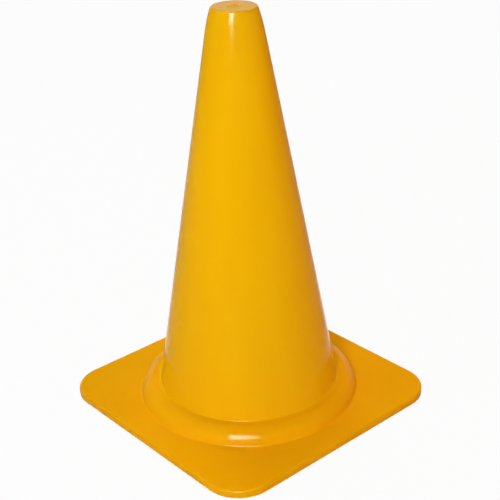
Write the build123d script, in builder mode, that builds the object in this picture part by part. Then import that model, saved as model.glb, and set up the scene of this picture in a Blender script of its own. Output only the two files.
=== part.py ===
from build123d import *
import os
from math import acos, cos, degrees, radians, sin, tan

os.makedirs("parts", exist_ok=True)

# A sports marker cone in two mouldings: a hollow cone with a closed tip, and a square
# base with a raised collar. The cone drops into the collar from above, its flange
# seats in a rebate flush with the collar's top, and a bead on its skirt snaps under
# the seat. The frame has Z up the cone's axis and z = 0 on the ground.
# All sizes are in millimetres, and angles are in degrees.

# Cone body
height = 380.0  # ground to the top of the tip
foot_radius = 85.0  # outside of the cone where it meets the collar's top
nose_height = 23.0  # curved length below the top
nose_radius = 25.8  # outside of the cone where the curve begins
top_radius = 20.0  # outside of the tip before its edge is rounded
top_edge_radius = 1.5
body_wall = 2.3
gate_radius = 5.5  # round moulding recess in the tip
gate_depth = 1.0
foot_bevel = 1.5  # between the cone and its flange
flange_width = 3.6  # cone's foot to the flange's edge
flange_thickness = 2.0
bead_height = 2.6  # from the skirt's lower edge to the top of the bead
bead_catch = 0.7  # how far the bead reaches under the seat

# Square base
base_side = 257.0
corner_radius = 35.0
rim_height = 7.4  # ground to the top of the plate
rim_bevel = 1.2  # along the rim's upper edge
base_wall = 2.8  # plate, rim, collar and seat alike
collar_height = 14.0  # above the plate
collar_shoulder = 15.4  # outside radius of the rounded shoulder, which starts at the rebate
collar_draft = 12.0  # lean of the collar's wall
toe_bevel = 1.0  # between the collar and the plate
rib_count = 8
rib_thickness = 2.0
rib_ground_gap = 1.0

# Fits
seam_gap = 0.12  # between the flange's edge and the rebate
skirt_gap = 0.25  # between the skirt and the bore of the seat
bead_play = 0.15  # between the bead and the underside of the seat

# Heights shared by both pieces
plate_underside = rim_height - base_wall
collar_top = rim_height + collar_height
seat_height = collar_top - flange_thickness
seat_underside = seat_height - base_wall
bead_top = seat_underside - bead_play
skirt_bottom = bead_top - bead_height
nose_base = height - nose_height

# Radii shared by both pieces
cone_slope = (foot_radius - nose_radius) / (nose_base - collar_top)
skirt_radius = foot_radius + cone_slope * (collar_top - skirt_bottom)
skirt_inside = skirt_radius - body_wall
flange_radius = foot_radius + flange_width
bore_radius = skirt_radius + skirt_gap
bead_radius = bore_radius + bead_catch
rebate_radius = flange_radius + seam_gap

# Outside of the collar: the shoulder is centred below the rebate's edge and ends on a leaning wall
shoulder_height = collar_top - collar_shoulder
wall_top = (
    rebate_radius + collar_shoulder * cos(radians(collar_draft)),
    shoulder_height + collar_shoulder * sin(radians(collar_draft)),
)
collar_radius = wall_top[0] + (wall_top[1] - rim_height) * tan(radians(collar_draft))
plate_lap = collar_radius + base_wall  # the collar's moulding runs this far into the plate

# Inside of the collar, one wall in from its outside, with the shoulder in straight steps
seat_wall = rebate_radius + base_wall
inner_shoulder = collar_shoulder - base_wall
shoulder_start = degrees(acos(base_wall / inner_shoulder))
shoulder_steps = [
    (
        rebate_radius + inner_shoulder * cos(radians(angle)),
        shoulder_height + inner_shoulder * sin(radians(angle)),
    )
    for angle in (shoulder_start, (shoulder_start + collar_draft) / 2, collar_draft)
]
wall_foot = collar_radius + base_wall * tan(radians(collar_draft))
inner_foot = wall_foot - base_wall / cos(radians(collar_draft))

# Cone body
with BuildPart() as cone_body:
    with BuildSketch(Plane.XZ) as body_section:
        # Outside, from the skirt's lower edge to the top of the tip
        with BuildLine():
            side = Line((skirt_radius, skirt_bottom), (nose_radius, nose_base))
            nose = TangentArc(side @ 1, (top_radius, height), tangent=side % 1)
            Polyline(nose @ 1, (0, height), (0, skirt_bottom), side @ 0)
        make_face()
        # Flange that seats in the base
        with Locations((0, seat_height)):
            Rectangle(flange_radius, flange_thickness, align=Align.MIN)
        # Snap bead around the skirt, with a lead-in down to its lower edge
        Polygon(
            (skirt_inside, skirt_bottom),
            (skirt_radius, skirt_bottom),
            (bead_radius, bead_top),
            (skirt_inside, bead_top),
            align=None,
        )
        # Hollow that leaves an even wall, open at the foot
        Polygon(
            (0, skirt_bottom),
            (skirt_inside, skirt_bottom),
            (nose_radius - body_wall, nose_base),
            (top_radius - body_wall, height - body_wall),
            (0, height - body_wall),
            align=None,
            mode=Mode.SUBTRACT,
        )
        # Round gate recess in the middle of the tip
        with Locations((0, height)):
            Rectangle(gate_radius, gate_depth, align=(Align.MIN, Align.MAX), mode=Mode.SUBTRACT)
        fillet(body_section.vertices().sort_by_distance((top_radius, height))[0], top_edge_radius)
        chamfer(body_section.vertices().sort_by_distance((foot_radius, collar_top))[0], foot_bevel)
    revolve(axis=Axis.Z)
cone_body.part.label = "cone_body"
export_step(cone_body.part, "parts/cone_body.step")

# Square base
with BuildPart() as square_base:
    # Plate with its down-turned rim
    with BuildSketch():
        RectangleRounded(base_side, base_side, corner_radius)
    extrude(amount=rim_height)
    chamfer(square_base.faces().sort_by(Axis.Z)[-1].edges(), rim_bevel)
    with BuildSketch() as rim_inside:
        RectangleRounded(base_side, base_side, corner_radius)
        offset(amount=-base_wall)
    extrude(amount=plate_underside, mode=Mode.SUBTRACT)
    # Round hole that the collar fills
    with BuildSketch():
        Circle(collar_radius)
    extrude(amount=rim_height, mode=Mode.SUBTRACT)
    # Collar and seat, one even wall carried round the axis
    with BuildSketch(Plane.XZ) as collar_section:
        with BuildLine():
            wall = Polyline((plate_lap, rim_height), (collar_radius, rim_height), wall_top)
            TangentArc(wall @ 1, (rebate_radius, collar_top), tangent=wall % 1)
            Polyline(
                (rebate_radius, collar_top),
                (rebate_radius, seat_height),
                (bore_radius, seat_height),
                (bore_radius, seat_underside),
                (seat_wall, seat_underside),
                *shoulder_steps,
                (inner_foot, plate_underside),
                (plate_lap, plate_underside),
                (plate_lap, rim_height),
            )
        make_face()
        chamfer(collar_section.vertices().sort_by_distance((collar_radius, rim_height))[0], toe_bevel)
    revolve(axis=Axis.Z)
    # Ribs under the plate, from the collar's toe to the rim
    with BuildSketch(Plane.XY.offset(rib_ground_gap)):
        with PolarLocations(0, rib_count):
            Rectangle(base_side, rib_thickness, align=(Align.MIN, Align.CENTER))
        offset(rim_inside.sketch, amount=base_wall / 2, mode=Mode.INTERSECT)
        Circle(collar_radius, mode=Mode.SUBTRACT)
    extrude(amount=plate_underside + base_wall / 2 - rib_ground_gap)
square_base.part.label = "square_base"
export_step(square_base.part, "parts/square_base.step")
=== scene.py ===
"""A sports marker cone of amber plastic: its smooth skins, finish, floor, light and camera."""
import math

import bpy
import numpy as np
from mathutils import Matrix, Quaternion, Vector


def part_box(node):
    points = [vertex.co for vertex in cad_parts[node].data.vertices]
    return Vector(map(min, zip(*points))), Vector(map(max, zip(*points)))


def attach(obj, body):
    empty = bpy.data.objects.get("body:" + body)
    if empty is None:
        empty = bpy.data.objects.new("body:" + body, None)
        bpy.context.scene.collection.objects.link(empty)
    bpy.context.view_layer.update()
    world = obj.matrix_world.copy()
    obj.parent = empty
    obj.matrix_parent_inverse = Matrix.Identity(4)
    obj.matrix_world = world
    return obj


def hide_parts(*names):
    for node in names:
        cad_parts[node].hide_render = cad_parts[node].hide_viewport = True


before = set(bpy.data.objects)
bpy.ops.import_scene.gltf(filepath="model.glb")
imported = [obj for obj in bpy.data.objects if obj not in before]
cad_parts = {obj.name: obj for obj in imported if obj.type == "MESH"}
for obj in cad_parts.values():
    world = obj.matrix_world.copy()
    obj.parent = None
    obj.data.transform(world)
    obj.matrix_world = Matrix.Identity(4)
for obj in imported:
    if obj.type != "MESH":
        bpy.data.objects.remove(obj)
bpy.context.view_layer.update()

MM = 0.001

# Sizes that the parts in model.glb give, in metres
body_low, body_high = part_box("cone_body")
_, base_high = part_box("square_base")
HEIGHT = body_high[2]
SKIRT_BOTTOM = body_low[2]
FLANGE_RADIUS = body_high[0]
BASE_HALF = base_high[0]
COLLAR_TOP = base_high[2]

# Cone
FOOT_RADIUS = 85.0 * MM
FOOT_FILLET = 0.8 * MM
NOSE_BASE = HEIGHT - 23.0 * MM
NOSE_RADIUS = 25.8 * MM
TOP_RADIUS = 20.0 * MM
TOP_EDGE = 1.5 * MM
BODY_WALL = 2.3 * MM
GATE_RADIUS = 5.5 * MM
GATE_FLOOR = HEIGHT - 0.4 * MM
SEAT_HEIGHT = COLLAR_TOP - 2.0 * MM
BEAD_RADIUS = 87.28 * MM

# Base
BASE_WALL = 2.8 * MM
CORNER_RADIUS = 35.0 * MM
RIM_HEIGHT = 7.4 * MM
RIM_EDGE = 2.0 * MM
SHOULDER_LAND = 0.3 * MM
COLLAR_SHOULDER = 15.1 * MM
SHOULDER_STEPS = 10
COLLAR_DRAFT = math.radians(12.0)
TOE_FILLET = 1.5 * MM
RIB_COUNT = 8
RIB_THICKNESS = 2.0 * MM
RIB_BOTTOM = 1.0 * MM
RIB_EDGE = 0.4 * MM

# Fits and small edges
SEAM_GAP = 0.05 * MM
SEAM_EDGE = 0.03 * MM
SKIRT_GAP = 0.25 * MM
BEAD_PLAY = 0.15 * MM
FINE_EDGE = 0.12 * MM
SOFT_EDGE = 0.3 * MM
GROUND_EDGE = 0.5 * MM

# Places that follow from these
PLATE_UNDERSIDE = RIM_HEIGHT - BASE_WALL
SEAT_UNDERSIDE = SEAT_HEIGHT - BASE_WALL
BEAD_TOP = SEAT_UNDERSIDE - BEAD_PLAY
CONE_SLOPE = (FOOT_RADIUS - NOSE_RADIUS) / (NOSE_BASE - COLLAR_TOP)
SKIRT_RADIUS = FOOT_RADIUS + CONE_SLOPE * (COLLAR_TOP - SKIRT_BOTTOM)
SKIRT_INSIDE = SKIRT_RADIUS - BODY_WALL
NOSE_INSIDE_BEND = 30 * BODY_WALL
BORE_RADIUS = SKIRT_RADIUS + SKIRT_GAP
REBATE_RADIUS = FLANGE_RADIUS + SEAM_GAP
SEAT_WALL = REBATE_RADIUS + BASE_WALL
SHOULDER_CENTRE = REBATE_RADIUS + SHOULDER_LAND
SHOULDER_HEIGHT = COLLAR_TOP - COLLAR_SHOULDER
COLLAR_CORNER = SHOULDER_CENTRE + COLLAR_SHOULDER * math.tan(math.pi / 4 - COLLAR_DRAFT / 2)
COLLAR_RADIUS = COLLAR_CORNER + (COLLAR_TOP - RIM_HEIGHT) * math.tan(COLLAR_DRAFT)

# Fineness of the skins
ROUND_STEPS = 288
SIDE_STEPS = 24
CORNER_STEPS = 32
ARC_STEPS = 8
NOSE_STEPS = 9
LONGEST_STEP = 6.0 * MM
SAME_POINT = 1e-8
SHARP_CORNER = math.radians(40.0)

# Finish, in linear colour
# The cone and base are the same plastic. The cone's ambers hold more green as painted light, where
# the cone stands in more light. The base's ambers hold less green as painted shade, where the plate
# lies in less light.
CONE_AMBER_LIT = (0.89, 0.46, 0.002)
CONE_AMBER_LIT_DEEP = (0.87, 0.435, 0.001)
BASE_AMBER_SHADED = (0.89, 0.42, 0.002)
BASE_AMBER_SHADED_DEEP = (0.87, 0.395, 0.001)
GLOSS = 0.11
GLOSS_WANDER = 0.03
SATIN = 0.46
REFRACTION = 1.5
SPECULAR = 0.04
SPECULAR_TINT = (1.0, 0.95, 0.82)

# Moulding marks: scale and detail of each noise, the part of its range that is used, and the
# stretches that lay the flow's streaks upright on the cone and level on the base
FLOW_NOISE = (30, 3)
FLOW_RANGE = (0.35, 0.65)
FLOW_UPRIGHT = (1.0, 1.0, 0.12)
FLOW_LEVEL = (0.5, 0.5, 1.0)
GLOSS_NOISE = (70, 4)
GLOSS_RANGE = (0.3, 0.7)
PEEL_NOISE = (650, 1)
PEEL_STRENGTH = 0.04
PEEL_DEPTH = 0.5 * MM

# Floor and surroundings
FLOOR_REACH = 30.0
FLOOR_DROP = 0.1 * MM
FLOOR_PALE = (0.6, 0.6, 0.6)
FLOOR_ROUGHNESS = 0.9
FLOOR_LIFT = 0.96
SURROUNDINGS = 0.14
WHITE = (1.0, 1.0, 1.0)

# The white backdrop behind the object ends between two elevations, given by their sines,
# and between two turns from straight behind, given by their cosines
BACKDROP_TALL = (0.31, 0.42)
BACKDROP_WIDE = (0.85, 0.6)

# Mirrored rays see the floor white on a strip that runs back from the object. It fades out
# between two half widths, and starts between two places along the way back, in metres
STRIP_HALF = (0.12, 0.18)
STRIP_START = (-0.06, 0.02)

# Lamps: turn to the left of the camera's side and elevation in degrees, then distance, width
# and height in metres, and power in watts
SOFT_LAMPS = {
    "key": (11, 24, 1.1, 0.24, 0.24, 7.3),
    "side_left": (76, 20, 1.6, 0.8, 0.8, 4.1),
    "side_right": (-98, 17, 1.6, 0.8, 0.8, 8.4),
    "back_left": (140, 32, 1.6, 0.8, 0.8, 3.4),
    "back_high": (172, 57, 1.6, 0.8, 0.8, 9.0),
}
WINDOW_LAMPS = {
    "window": (13.3, 32.5, 2.0, 0.64, 0.88, 218.0),
    "window_right": (0, 31, 2.0, 0.36, 0.4, 50.0),
    "window_low": (13.5, 15.5, 2.0, 0.25, 0.4, 4.6),
}
LAMP_TINTS = {"side_right": (1.0, 0.56, 0.22)}

# Camera, from the fit to the photograph
EYE = Vector((-0.60935, -0.71945, 0.62179))
AIM = Vector((0.00441, -0.00378, 0.15246))
ROLL = math.radians(-2.169)
LENS = 82.298
SENSOR = 36.0

# Level directions as the camera sees them
BACKWARD = (AIM - EYE).to_2d().normalized().to_3d()
SIDEWAYS = Vector((-BACKWARD.y, BACKWARD.x, 0))


def rounded_section(corners, closed):
    """Points and corner numbers of a line through corners (across, up, rounding).

    Each corner becomes the arc of its rounding that touches both of its sides. With the
    half angle h between the sides, the arc's centre lies rounding / sin h along the
    bisector, and the arc starts rounding / tan h before the corner. One guard point is
    added just before and just after each arc, so that shading stays flat beside it.
    """
    corners = np.asarray(corners, float)
    here, rounding = corners[:, :2], corners[:, 2:]
    back = np.roll(here, 1, axis=0) - here
    ahead = np.roll(here, -1, axis=0) - here
    back /= np.linalg.norm(back, axis=1, keepdims=True)
    ahead /= np.linalg.norm(ahead, axis=1, keepdims=True)
    middle = (back + ahead) / np.linalg.norm(back + ahead, axis=1, keepdims=True)
    across = (ahead - back) / np.linalg.norm(ahead - back, axis=1, keepdims=True)
    half = np.arccos(np.clip(np.sum(back * ahead, axis=1, keepdims=True), -1, 1)) / 2
    centre = here + middle * rounding / np.sin(half)
    sweep = np.linspace(-1, 1, ARC_STEPS + 1)[None, :, None] * (math.pi / 2 - half)[:, :, None]
    arc = rounding[:, :, None] * (np.sin(sweep) * across[:, None] - np.cos(sweep) * middle[:, None])
    arc += centre[:, None]
    guard = rounding / np.tan(half) + np.minimum(rounding / 2, 2 * FINE_EDGE)
    before = (here + back * guard)[:, None]
    after = (here + ahead * guard)[:, None]
    points = np.concatenate([before, arc, after], axis=1).reshape(-1, 2)
    number = np.repeat(np.arange(len(corners)), ARC_STEPS + 3)
    if not closed:
        # The first and last corners are plain ends
        inner = slice(ARC_STEPS + 3, -(ARC_STEPS + 3))
        points = np.concatenate([here[:1], points[inner], here[-1:]])
        number = np.concatenate([number[:1], number[inner], number[-1:]])
    step = np.linalg.norm(np.diff(points, axis=0), axis=1)
    keep = np.concatenate([[True], step > SAME_POINT])
    return points[keep], number[keep]


def with_even_steps(points, number):
    """The same line with more points, so that no straight stretch is longer than LONGEST_STEP."""
    stretch = np.linalg.norm(np.diff(points, axis=0), axis=1)
    pieces = np.ceil(stretch / LONGEST_STEP).astype(int)
    start = np.repeat(np.arange(len(pieces)), pieces)
    first = np.repeat(np.cumsum(pieces) - pieces, pieces)
    share = ((np.arange(len(start)) - first) / pieces[start])[:, None]
    filled = points[start] * (1 - share) + points[start + 1] * share
    return np.concatenate([filled, points[-1:]]), np.concatenate([number[start], number[-1:]])


def tangent_arc(start, direction, end, steps):
    """Points of the arc that leaves start along direction and ends at end.

    Its radius is the squared chord over twice the chord's part square to the direction.
    """
    chord = end - start
    square = np.array([-direction[1], direction[0]])
    radius = chord @ chord / (2 * chord @ square)
    centre = start + square * radius
    first, last = (math.atan2(*(point - centre)[::-1]) for point in (start, end))
    turn = np.linspace(first, last, steps + 1)
    return centre + abs(radius) * np.stack([np.cos(turn), np.sin(turn)], axis=1)


def make_piece(name, vertices, faces, satin, material, node):
    """Makes a smooth mesh object at the origin that stands for a node.

    The satin of each point, 0 or 1, is saved with the mesh. Shading breaks only at corners
    sharper than SHARP_CORNER.
    """
    mesh = bpy.data.meshes.new(name)
    mesh.from_pydata(vertices.tolist(), [], faces)
    mesh.polygons.foreach_set("use_smooth", np.ones(len(mesh.polygons), bool))
    mesh.set_sharp_from_angle(angle=SHARP_CORNER)
    saved = mesh.attributes.new("satin", "FLOAT", "POINT")
    saved.data.foreach_set("value", satin.astype(np.float32))
    mesh.materials.append(material)
    piece = bpy.data.objects.new(name, mesh)
    bpy.context.scene.collection.objects.link(piece)
    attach(piece, "root")
    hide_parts(node)


def grid_quads(around, along, wrap):
    """Corner numbers of the quads on a grid that closes around, and along too if wrap is set."""
    ring = np.arange(around)[:, None] * along
    row = np.arange(along if wrap else along - 1)[None, :]
    next_ring = (ring + along) % (around * along)
    next_row = (row + 1) % along
    quads = [ring + row, ring + next_row, next_ring + next_row, next_ring + row]
    return np.stack(quads, axis=2).reshape(-1, 4)


def cone_section():
    """Section of the cone, from the gate recess over the outside, round the skirt and up inside.

    Its points come with their satin, which is 1 in the recess and on the inside.
    """
    foot_to_nose = np.array([NOSE_RADIUS - FOOT_RADIUS, NOSE_BASE - COLLAR_TOP])
    nose = tangent_arc(
        np.array([NOSE_RADIUS, NOSE_BASE]),
        foot_to_nose / np.linalg.norm(foot_to_nose),
        np.array([TOP_RADIUS, HEIGHT]),
        NOSE_STEPS,
    )
    recess = [
        (0, GATE_FLOOR, 0),
        (GATE_RADIUS, GATE_FLOOR, FINE_EDGE),
    ]
    outside = [
        (GATE_RADIUS, HEIGHT, FINE_EDGE),
        (TOP_RADIUS, HEIGHT, TOP_EDGE),
        *((radius, height, 0) for radius, height in nose[-2::-1]),
        (FOOT_RADIUS, COLLAR_TOP, FOOT_FILLET),
        (FLANGE_RADIUS, COLLAR_TOP, SEAM_EDGE),
        (FLANGE_RADIUS, SEAT_HEIGHT, FINE_EDGE),
        (FOOT_RADIUS + CONE_SLOPE * (COLLAR_TOP - SEAT_HEIGHT), SEAT_HEIGHT, FINE_EDGE),
        (FOOT_RADIUS + CONE_SLOPE * (COLLAR_TOP - BEAD_TOP), BEAD_TOP, FINE_EDGE),
        (BEAD_RADIUS, BEAD_TOP, FINE_EDGE),
        (SKIRT_RADIUS, SKIRT_BOTTOM, SOFT_EDGE),
    ]
    inside = [
        (SKIRT_INSIDE, SKIRT_BOTTOM, SOFT_EDGE),
        (NOSE_RADIUS - BODY_WALL, NOSE_BASE, NOSE_INSIDE_BEND),
        (TOP_RADIUS - BODY_WALL, HEIGHT - BODY_WALL, BODY_WALL),
        (0, HEIGHT - BODY_WALL, 0),
    ]
    points, number = with_even_steps(*rounded_section(recess + outside + inside, closed=False))
    shiny = (number >= len(recess)) & (number < len(recess + outside))
    return points, 1.0 - shiny


def cone_skin(material):
    """Makes the cone's closed skin: its section turned about Z.

    A point of radius r and height z, turned by t, is (r cos t, r sin t, z). The section's two
    ends lie on the axis, where fans of triangles close the skin.
    """
    section, satin = cone_section()
    turn = np.arange(ROUND_STEPS) * 2 * math.pi / ROUND_STEPS
    radius, height = section[1:-1, 0], section[1:-1, 1]
    rows = len(radius)
    grid = np.stack(
        [
            np.cos(turn)[:, None] * radius,
            np.sin(turn)[:, None] * radius,
            np.broadcast_to(height, (ROUND_STEPS, rows)),
        ],
        axis=2,
    ).reshape(-1, 3)
    poles = np.stack([np.zeros(2), np.zeros(2), section[[0, -1], 1]], axis=1)
    vertices = np.concatenate([grid, poles])
    ring = np.arange(ROUND_STEPS)
    next_ring = (ring + 1) % ROUND_STEPS
    top, inner_top = np.full((2, ROUND_STEPS), len(grid)) + [[0], [1]]
    top_fan = np.stack([top, ring * rows, next_ring * rows], axis=1)
    inner_fan = np.stack([inner_top, next_ring * rows + rows - 1, ring * rows + rows - 1], axis=1)
    faces = grid_quads(ROUND_STEPS, rows, wrap=False).tolist()
    faces += top_fan.tolist() + inner_fan.tolist()
    shades = np.concatenate([np.tile(satin[1:-1], ROUND_STEPS), satin[[0, -1]]])
    make_piece("cone_skin", vertices, faces, shades, material, "cone_body")


def base_section():
    """Section of the base, a closed line over seat, collar and plate, round the rim and back.

    Its points come with their satin, which is 1 on the underside.
    """
    inner_shoulder = COLLAR_SHOULDER - BASE_WALL
    seat_turn = math.acos((SEAT_WALL - SHOULDER_CENTRE) / inner_shoulder)
    turn = np.linspace(COLLAR_DRAFT, seat_turn, SHOULDER_STEPS)
    inner_radius = SHOULDER_CENTRE + inner_shoulder * np.cos(turn)
    inner_height = SHOULDER_HEIGHT + inner_shoulder * np.sin(turn)
    inner_foot = inner_radius[0] + (inner_height[0] - PLATE_UNDERSIDE) * math.tan(COLLAR_DRAFT)
    outside = [
        (BORE_RADIUS, SEAT_UNDERSIDE, SOFT_EDGE),
        (BORE_RADIUS, SEAT_HEIGHT, FINE_EDGE),
        (REBATE_RADIUS, SEAT_HEIGHT, FINE_EDGE),
        (REBATE_RADIUS, COLLAR_TOP, SEAM_EDGE),
        (COLLAR_CORNER, COLLAR_TOP, COLLAR_SHOULDER),
        (COLLAR_RADIUS, RIM_HEIGHT, TOE_FILLET),
        (BASE_HALF, RIM_HEIGHT, RIM_EDGE),
        (BASE_HALF, 0, GROUND_EDGE),
    ]
    underside = [
        (BASE_HALF - BASE_WALL, 0, GROUND_EDGE),
        (BASE_HALF - BASE_WALL, PLATE_UNDERSIDE, GROUND_EDGE),
        (inner_foot, PLATE_UNDERSIDE, TOE_FILLET),
        *((radius, height, 0) for radius, height in zip(inner_radius, inner_height)),
        (SEAT_WALL, SEAT_UNDERSIDE, FINE_EDGE),
    ]
    points, number = rounded_section(outside + underside, closed=True)
    points = np.concatenate([points, points[:1]])
    number = np.concatenate([number, number[-1:]])
    points, number = with_even_steps(points, number)
    return points[:-1], (number[:-1] >= len(outside)).astype(float)


def square_outline():
    """Points and outward normals round the base's outline, a square with round corners.

    Each quarter is a straight side followed by a quarter arc. The first one is worked out
    on the side that faces +X and is turned by 90 degrees three times.
    """
    reach = BASE_HALF - CORNER_RADIUS
    along = np.linspace(-reach, reach, SIDE_STEPS, endpoint=False)
    turn = np.linspace(0, math.pi / 2, CORNER_STEPS, endpoint=False)
    side = np.stack([np.full(SIDE_STEPS, BASE_HALF), along], axis=1)
    side_normal = np.tile([1.0, 0.0], (SIDE_STEPS, 1))
    arc_normal = np.stack([np.cos(turn), np.sin(turn)], axis=1)
    points = np.concatenate([side, reach + CORNER_RADIUS * arc_normal])
    normals = np.concatenate([side_normal, arc_normal])
    quarter = np.array([[0.0, 1.0], [-1.0, 0.0]])
    turns = [np.linalg.matrix_power(quarter, count) for count in range(4)]
    points = np.concatenate([points @ turned for turned in turns])
    normals = np.concatenate([normals @ turned for turned in turns])
    return points, normals


def rib_shell(angle, reach):
    """Vertices of one rib under the plate, a strip carried straight out from the collar.

    The strip's lower edges are rounded, and its top lies inside the plate.
    """
    half = RIB_THICKNESS / 2
    top = PLATE_UNDERSIDE + BASE_WALL / 2
    corners = [
        (-half, top, 0),
        (-half, RIB_BOTTOM, RIB_EDGE),
        (half, RIB_BOTTOM, RIB_EDGE),
        (half, top, 0),
    ]
    strip, _ = rounded_section(corners, closed=False)
    distance = np.array([COLLAR_RADIUS, reach])[:, None]
    sideways = np.broadcast_to(strip[:, 0], (2, len(strip)))
    return np.stack(
        [
            distance * math.cos(angle) - sideways * math.sin(angle),
            distance * math.sin(angle) + sideways * math.cos(angle),
            np.broadcast_to(strip[:, 1], (2, len(strip))),
        ],
        axis=2,
    ).reshape(-1, 3)


def rib_faces(points, first):
    """Faces of a closed strip of two rings with that many points each, numbered from first."""
    near = first + np.arange(points)
    far = near + points
    sides = np.stack([near, np.roll(near, -1), np.roll(far, -1), far], axis=1)
    return sides.tolist() + [near[::-1].tolist(), far.tolist()]


def base_skin(material):
    """Makes the base's skin: its section carried round, circular at the collar, square at the rim.

    Inside the toe of the collar a section point lies on a circle. Within the rim's reach it
    lies on the square outline, moved inwards along the normal. Between the two, the point is
    the straight blend of the last circle and the first square line at the same place round.
    The ribs are closed strips that run into this skin.
    """
    section, satin = base_section()
    outline, normal = square_outline()
    direction = outline / np.linalg.norm(outline, axis=1, keepdims=True)
    circle_end = COLLAR_RADIUS + 2 * TOE_FILLET
    square_start = BASE_HALF - 2 * BASE_WALL
    across, height = section[:, 0], section[:, 1]
    blend = np.clip((across - circle_end) / (square_start - circle_end), 0, 1)[None, :, None]
    circle = direction[:, None] * np.minimum(across, circle_end)[None, :, None]
    inward = BASE_HALF - np.maximum(across, square_start)[None, :, None]
    square = outline[:, None] - normal[:, None] * inward
    flat = circle * (1 - blend) + square * blend
    around, along = flat.shape[:2]
    tall = np.broadcast_to(height[None, :, None], (around, along, 1))
    vertices = np.concatenate([flat, tall], axis=2).reshape(-1, 3)
    faces = grid_quads(around, along, wrap=True).tolist()
    shades = np.tile(satin, around)
    side_reach = BASE_HALF - BASE_WALL / 2
    corner_reach = math.sqrt(2) * (BASE_HALF - CORNER_RADIUS) + CORNER_RADIUS - BASE_WALL / 2
    for count in range(RIB_COUNT):
        reach = corner_reach if count % 2 else side_reach
        rib = rib_shell(count * 2 * math.pi / RIB_COUNT, reach)
        faces += rib_faces(len(rib) // 2, len(vertices))
        vertices = np.concatenate([vertices, rib])
        shades = np.concatenate([shades, np.ones(len(rib))])
    make_piece("base_skin", vertices, faces, shades, material, "square_base")


def group_node(tree, group, **values):
    """Places a node group in a material and sets its inputs by name."""
    node = tree.nodes.new("ShaderNodeGroup")
    node.node_tree = group
    for name, value in values.items():
        node.inputs[name.replace("_", " ")].default_value = value
    return node


def new_group(name, inputs, outputs):
    """An empty shader node group with named sockets. Returns it with its input and output nodes."""
    group = bpy.data.node_groups.new(name, "ShaderNodeTree")
    for label, kind in inputs:
        group.interface.new_socket(label, in_out="INPUT", socket_type=kind)
    for label, kind in outputs:
        group.interface.new_socket(label, in_out="OUTPUT", socket_type=kind)
    return group, group.nodes.new("NodeGroupInput"), group.nodes.new("NodeGroupOutput")


def noise(tree, vector, scale, detail):
    """A noise texture on that vector. Returns its value socket."""
    node = tree.nodes.new("ShaderNodeTexNoise")
    node.inputs["Scale"].default_value = scale
    node.inputs["Detail"].default_value = detail
    tree.links.new(vector, node.inputs["Vector"])
    return node.outputs["Fac"]


def mapped(tree, value, low, high, to_low, to_high):
    """A value moved from one range to another and held within it. Ends are sockets or numbers."""
    node = tree.nodes.new("ShaderNodeMapRange")
    tree.links.new(value, node.inputs["Value"])
    ends = {"From Min": low, "From Max": high, "To Min": to_low, "To Max": to_high}
    for name, number in ends.items():
        if isinstance(number, bpy.types.NodeSocket):
            tree.links.new(number, node.inputs[name])
        else:
            node.inputs[name].default_value = number
    return node.outputs["Result"]


def mixed_colour(tree, share, first, second):
    """The mix of two colour sockets."""
    node = tree.nodes.new("ShaderNodeMix")
    node.data_type = "RGBA"
    tree.links.new(share, node.inputs["Factor"])
    # Inputs 6 and 7 and output 2 are the node's colours
    tree.links.new(first, node.inputs[6])
    tree.links.new(second, node.inputs[7])
    return node.outputs[2]


def moulded_skin_group():
    """Tone, gloss and orange peel of moulded plastic.

    Tone drifts between two ambers along stretched flow streaks. Roughness wanders a little
    between two values, and the height is a fine ripple.
    """
    group, given, result = new_group(
        "moulded_skin",
        [
            ("Point", "NodeSocketVector"),
            ("Flow Stretch", "NodeSocketVector"),
            ("Bright Tone", "NodeSocketColor"),
            ("Deep Tone", "NodeSocketColor"),
            ("Smooth", "NodeSocketFloat"),
            ("Rough", "NodeSocketFloat"),
        ],
        [
            ("Colour", "NodeSocketColor"),
            ("Roughness", "NodeSocketFloat"),
            ("Height", "NodeSocketFloat"),
        ],
    )
    stretched = group.nodes.new("ShaderNodeVectorMath")
    stretched.operation = "MULTIPLY"
    group.links.new(given.outputs["Point"], stretched.inputs[0])
    group.links.new(given.outputs["Flow Stretch"], stretched.inputs[1])
    flow = noise(group, stretched.outputs["Vector"], *FLOW_NOISE)
    tone = mixed_colour(
        group,
        mapped(group, flow, *FLOW_RANGE, 0, 1),
        given.outputs["Bright Tone"],
        given.outputs["Deep Tone"],
    )
    wander = noise(group, given.outputs["Point"], *GLOSS_NOISE)
    gloss = mapped(group, wander, *GLOSS_RANGE, given.outputs["Smooth"], given.outputs["Rough"])
    peel = noise(group, given.outputs["Point"], *PEEL_NOISE)
    group.links.new(tone, result.inputs["Colour"])
    group.links.new(gloss, result.inputs["Roughness"])
    group.links.new(peel, result.inputs["Height"])
    return group


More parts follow.
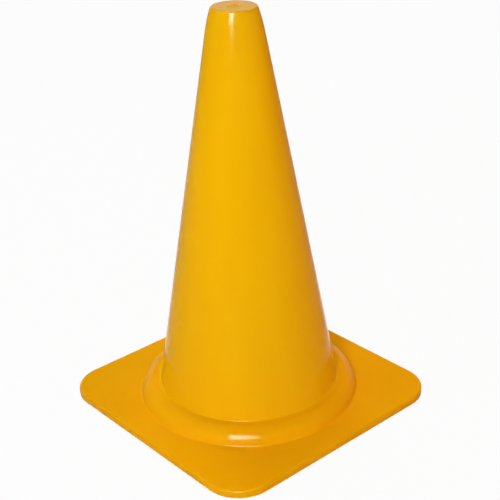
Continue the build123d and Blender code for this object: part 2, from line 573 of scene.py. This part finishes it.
def amber_plastic(name, skin_group, bright, deep, flow_stretch):
    """Glossy amber plastic that is duller where the mesh says satin."""
    material = bpy.data.materials.new(name)
    material.use_nodes = True
    tree = material.node_tree
    shader = tree.nodes["Principled BSDF"]
    skin = group_node(
        tree,
        skin_group,
        Flow_Stretch=flow_stretch,
        Bright_Tone=(*bright, 1),
        Deep_Tone=(*deep, 1),
        Smooth=GLOSS - GLOSS_WANDER,
        Rough=GLOSS + GLOSS_WANDER,
    )
    tree.links.new(tree.nodes.new("ShaderNodeTexCoord").outputs["Object"], skin.inputs["Point"])
    tree.links.new(skin.outputs["Colour"], shader.inputs["Base Color"])
    satin = tree.nodes.new("ShaderNodeAttribute")
    satin.attribute_name = "satin"
    rough = mapped(tree, satin.outputs["Fac"], 0, 1, skin.outputs["Roughness"], SATIN)
    tree.links.new(rough, shader.inputs["Roughness"])
    bump = tree.nodes.new("ShaderNodeBump")
    bump.inputs["Strength"].default_value = PEEL_STRENGTH
    bump.inputs["Distance"].default_value = PEEL_DEPTH
    tree.links.new(skin.outputs["Height"], bump.inputs["Height"])
    tree.links.new(bump.outputs["Normal"], shader.inputs["Normal"])
    shader.inputs["IOR"].default_value = REFRACTION
    shader.inputs["Specular IOR Level"].default_value = SPECULAR
    shader.inputs["Specular Tint"].default_value = (*SPECULAR_TINT, 1)
    return material


def studio_point(turn, elevation, distance):
    """A point that far from the middle of the cone, turned to the left of the camera by degrees."""
    toward = math.atan2(EYE.y, EYE.x) - math.radians(turn)
    rise = math.radians(elevation)
    flat = distance * math.cos(rise)
    tall = distance * math.sin(rise)
    return AIM + Vector((flat * math.cos(toward), flat * math.sin(toward), tall))


def lamp(name, turn, elevation, distance, width, tall, power):
    """A rectangular lamp at that studio point, facing the middle of the cone."""
    place = studio_point(turn, elevation, distance)
    light = bpy.data.lights.new(name, "AREA")
    light.shape = "RECTANGLE"
    light.size, light.size_y = width, tall
    light.energy = power
    holder = bpy.data.objects.new(name, light)
    bpy.context.scene.collection.objects.link(holder)
    holder.location = place
    holder.rotation_euler = (AIM - place).to_track_quat("-Z", "Y").to_euler()
    return holder


def place_lamps():
    """Places soft lamps, which are not mirrored, and windows, which are only mirrored as gleams."""
    for name, setting in SOFT_LAMPS.items():
        soft = lamp(name, *setting)
        soft.data.color = LAMP_TINTS.get(name, WHITE)
        soft.visible_glossy = False
    for name, setting in WINDOW_LAMPS.items():
        lamp(name, *setting).visible_diffuse = False


def combined(tree, operation, first, second):
    """Two value sockets joined by a math operation, such as their product or the larger one."""
    node = tree.nodes.new("ShaderNodeMath")
    node.operation = operation
    tree.links.new(first, node.inputs[0])
    tree.links.new(second, node.inputs[1])
    return node.outputs["Value"]


def part_along(tree, vector, direction):
    """A vector's part along a direction, as a value socket."""
    node = tree.nodes.new("ShaderNodeVectorMath")
    node.operation = "DOT_PRODUCT"
    node.inputs[1].default_value = direction
    tree.links.new(vector, node.inputs[0])
    return node.outputs["Value"]


def ray_kinds(tree):
    """Two sockets that are 1 or 0: for rays from the camera, and for mirrored or refracted rays."""
    path = tree.nodes.new("ShaderNodeLightPath").outputs
    mirrored = combined(tree, "MAXIMUM", path["Is Glossy Ray"], path["Is Transmission Ray"])
    return path["Is Camera Ray"], mirrored


def white_floor():
    """A wide pale floor just under the object.

    The camera sees it lifted towards white, and so do mirrored rays on the strip behind the
    object.
    """
    mesh = bpy.data.meshes.new("floor")
    corners = np.array([(-1, -1), (1, -1), (1, 1), (-1, 1)]) * FLOOR_REACH
    mesh.from_pydata([(x, y, -FLOOR_DROP) for x, y in corners], [], [(0, 1, 2, 3)])
    floor = bpy.data.objects.new("floor", mesh)
    bpy.context.scene.collection.objects.link(floor)
    material = bpy.data.materials.new("white_paper")
    material.use_nodes = True
    tree = material.node_tree
    paper = tree.nodes["Principled BSDF"]
    paper.inputs["Base Color"].default_value = (*FLOOR_PALE, 1)
    paper.inputs["Roughness"].default_value = FLOOR_ROUGHNESS
    paper.inputs["Specular IOR Level"].default_value = 0.0
    glow = tree.nodes.new("ShaderNodeEmission")
    glow.inputs["Strength"].default_value = 1.0
    place = tree.nodes.new("ShaderNodeTexCoord").outputs["Object"]
    aside = part_along(tree, place, SIDEWAYS)
    squares = [half**2 for half in STRIP_HALF]
    narrow = mapped(tree, combined(tree, "MULTIPLY", aside, aside), *squares, 1, 0)
    behind = mapped(tree, part_along(tree, place, BACKWARD), *STRIP_START, 0, 1)
    strip = combined(tree, "MULTIPLY", narrow, behind)
    direct, mirrored = ray_kinds(tree)
    seen = combined(tree, "MAXIMUM", direct, combined(tree, "MULTIPLY", strip, mirrored))
    lift = mapped(tree, seen, 0, 1, 0, FLOOR_LIFT)
    mix = tree.nodes.new("ShaderNodeMixShader")
    tree.links.new(lift, mix.inputs["Fac"])
    tree.links.new(paper.outputs["BSDF"], mix.inputs[1])
    tree.links.new(glow.outputs["Emission"], mix.inputs[2])
    tree.links.new(mix.outputs["Shader"], tree.nodes["Material Output"].inputs["Surface"])
    mesh.materials.append(material)


def studio():
    """White surroundings for the camera and dim ones for light.

    Mirrored rays see a white backdrop low down behind the object and dim surroundings elsewhere.
    """
    world = bpy.data.worlds.new("studio")
    world.use_nodes = True
    tree = world.node_tree
    toward = tree.nodes.new("ShaderNodeTexCoord").outputs["Generated"]
    apart = tree.nodes.new("ShaderNodeSeparateXYZ")
    tree.links.new(toward, apart.inputs["Vector"])
    tall = mapped(tree, apart.outputs["Z"], *BACKDROP_TALL, 1, 0)
    wide = mapped(tree, part_along(tree, toward, BACKWARD), *BACKDROP_WIDE, 1, 0)
    direct, mirrored = ray_kinds(tree)
    backdrop = combined(tree, "MULTIPLY", combined(tree, "MULTIPLY", tall, wide), mirrored)
    white = combined(tree, "MAXIMUM", direct, backdrop)
    strength = mapped(tree, white, 0, 1, SURROUNDINGS, 1)
    sky = tree.nodes["Background"]
    sky.inputs["Color"].default_value = (*WHITE, 1)
    tree.links.new(strength, sky.inputs["Strength"])
    bpy.context.scene.world = world


def place_camera():
    """The camera at the photograph's viewing angle."""
    lens = bpy.data.cameras.new("camera")
    lens.lens = LENS
    lens.sensor_width = SENSOR
    camera = bpy.data.objects.new("camera", lens)
    bpy.context.scene.collection.objects.link(camera)
    camera.location = EYE
    level = (AIM - EYE).to_track_quat("-Z", "Y")
    camera.rotation_euler = (level @ Quaternion((0, 0, 1), ROLL)).to_euler()
    bpy.context.scene.camera = camera


skin_group = moulded_skin_group()
# Lit and shaded copies of one amber: painted light on the cone, painted shade on the base
cone_amber_lit = amber_plastic("cone_amber_lit", skin_group, CONE_AMBER_LIT, CONE_AMBER_LIT_DEEP, FLOW_UPRIGHT)
base_amber_shaded = amber_plastic("base_amber_shaded", skin_group, BASE_AMBER_SHADED, BASE_AMBER_SHADED_DEEP, FLOW_LEVEL)
cone_skin(cone_amber_lit)
base_skin(base_amber_shaded)
white_floor()
studio()
place_lamps()
place_camera()
bpy.context.scene.view_settings.view_transform = "Standard"
